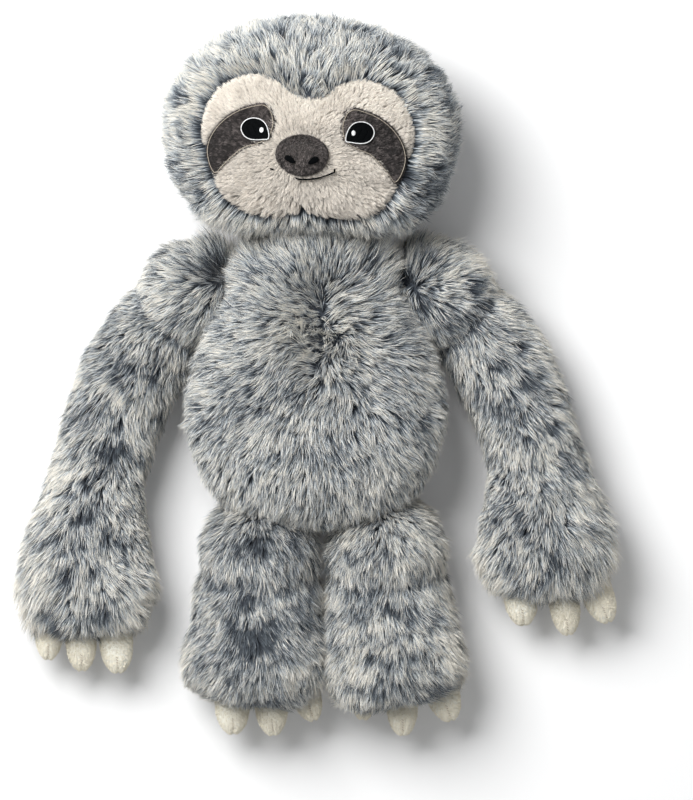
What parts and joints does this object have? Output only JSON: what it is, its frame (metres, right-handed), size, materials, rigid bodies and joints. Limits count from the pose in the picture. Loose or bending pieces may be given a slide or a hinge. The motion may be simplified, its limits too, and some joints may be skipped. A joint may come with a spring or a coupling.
{
  "type": "plush sloth",
  "caption": "Stuffed sloth with a long-pile body, a short-pile face, jointed limbs and head, and soft pouch claws on its hands and feet.",
  "frame": {"origin": "middle of the patch of the torso's back that the toy lies on", "axes": "+Z out of the belly, +Y towards the head, +X towards the toy's own left"},
  "size_m": [0.3157, 0.3807, 0.1182],
  "materials": {
    "grey_plush": "long-pile plush, dark slate at the roots and pale blue-grey at the tips",
    "cream_plush": "short-pile beige plush",
    "dark_plush": "short-pile dark warm-grey plush",
    "nose_plush": "very short dark grey-brown pile",
    "claw_plush": "off-white felted plush",
    "stuffing": "white polyester fibre fill",
    "black_thread": "satin black embroidery",
    "white_thread": "satin white embroidery",
    "grey_thread": "matt grey sewing thread"
  },
  "bodies": {
    "torso": {"torso_front_panel": "grey_plush", "torso_back_panel": "grey_plush", "torso_stuffing": "stuffing"},
    "neck_thread": {"neck_seam": "grey_thread"},
    "head": {"head_cover": "grey_plush", "face_panel": "cream_plush", "head_stuffing": "stuffing", "right_eye_patch": "dark_plush", "right_eye": "black_thread", "right_eye_outline": "white_thread", "right_eye_glint": "white_thread", "left_eye_patch": "dark_plush", "left_eye": "black_thread", "left_eye_outline": "white_thread", "left_eye_glint": "white_thread", "nose": "nose_plush", "right_nostril": "black_thread", "left_nostril": "black_thread", "mouth_stitching": "black_thread"},
    "right_shoulder_thread": {"right_arm_seam": "grey_thread"},
    "right_arm": {"right_arm_cover": "grey_plush", "right_arm_stuffing": "stuffing", "right_arm_claw_1": "claw_plush", "right_arm_claw_2": "claw_plush", "right_arm_claw_3": "claw_plush"},
    "left_shoulder_thread": {"left_arm_seam": "grey_thread"},
    "left_arm": {"left_arm_cover": "grey_plush", "left_arm_stuffing": "stuffing", "left_arm_claw_1": "claw_plush", "left_arm_claw_2": "claw_plush", "left_arm_claw_3": "claw_plush"},
    "right_hip_thread": {"right_leg_seam": "grey_thread"},
    "right_leg": {"right_leg_cover": "grey_plush", "right_leg_stuffing": "stuffing", "right_leg_claw_1": "claw_plush", "right_leg_claw_2": "claw_plush", "right_leg_claw_3": "claw_plush"},
    "left_hip_thread": {"left_leg_seam": "grey_thread"},
    "left_leg": {"left_leg_cover": "grey_plush", "left_leg_stuffing": "stuffing", "left_leg_claw_1": "claw_plush", "left_leg_claw_2": "claw_plush", "left_leg_claw_3": "claw_plush"}
  },
  "joints": [
    {"name": "neck_turn", "type": "hinge", "parent": "torso", "child": "neck_thread", "pos_m": [0, 0.058, 0.044], "axis": [0, 1, 0], "range_deg": [-40, 40]},
    {"name": "neck_nod", "type": "hinge", "parent": "neck_thread", "child": "head", "pos_m": [0, 0.058, 0.044], "axis": [1, 0, 0], "range_deg": [-20, 20]},
    {"name": "right_arm_swing", "type": "hinge", "parent": "torso", "child": "right_shoulder_thread", "pos_m": [-0.0655, 0.0485, 0.028], "axis": [-1, 0, 0], "range_deg": [-45, 150]},
    {"name": "right_arm_spread", "type": "hinge", "parent": "right_shoulder_thread", "child": "right_arm", "pos_m": [-0.0655, 0.0485, 0.028], "axis": [0, 0, -1], "range_deg": [0, 90]},
    {"name": "left_arm_swing", "type": "hinge", "parent": "torso", "child": "left_shoulder_thread", "pos_m": [0.0655, 0.0485, 0.028], "axis": [-1, 0, 0], "range_deg": [-45, 150]},
    {"name": "left_arm_spread", "type": "hinge", "parent": "left_shoulder_thread", "child": "left_arm", "pos_m": [0.0655, 0.0485, 0.028], "axis": [0, 0, 1], "range_deg": [0, 90]},
    {"name": "right_leg_splay", "type": "hinge", "parent": "torso", "child": "right_hip_thread", "pos_m": [-0.0299, -0.0875, 0.031], "axis": [0, -1, 0], "range_deg": [0, 25]},
    {"name": "right_leg_lift", "type": "hinge", "parent": "right_hip_thread", "child": "right_leg", "pos_m": [-0.0299, -0.0875, 0.031], "axis": [-1, 0, 0], "range_deg": [0, 70]},
    {"name": "left_leg_splay", "type": "hinge", "parent": "torso", "child": "left_hip_thread", "pos_m": [0.0371, -0.0875, 0.031], "axis": [0, 1, 0], "range_deg": [0, 25]},
    {"name": "left_leg_lift", "type": "hinge", "parent": "left_hip_thread", "child": "left_leg", "pos_m": [0.0371, -0.0875, 0.031], "axis": [-1, 0, 0], "range_deg": [0, 70]}
  ]
}
